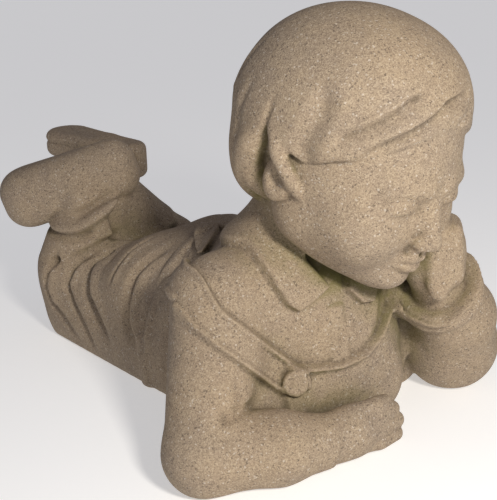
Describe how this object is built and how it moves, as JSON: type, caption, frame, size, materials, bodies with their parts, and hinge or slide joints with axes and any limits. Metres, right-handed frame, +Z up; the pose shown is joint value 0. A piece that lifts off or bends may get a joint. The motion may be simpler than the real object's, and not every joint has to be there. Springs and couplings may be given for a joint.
{
  "type": "garden statue",
  "caption": "Cast-stone garden statue of a child lying on their front, chin resting on a raised fist and feet lifted behind, flat underneath.",
  "frame": {"origin": "bottom centre of the figure's bounding box, on the ground plane", "axes": "+Z up; +Y from the head toward the feet, the figure's length; +X toward the figure's own left"},
  "size_m": [0.2493, 0.4394, 0.2527],
  "materials": {
    "cast_stone": "sandy cast stone, weathered, unglazed"
  },
  "bodies": {
    "root": {"boy_figure": "cast_stone"}
  },
  "joints": []
}
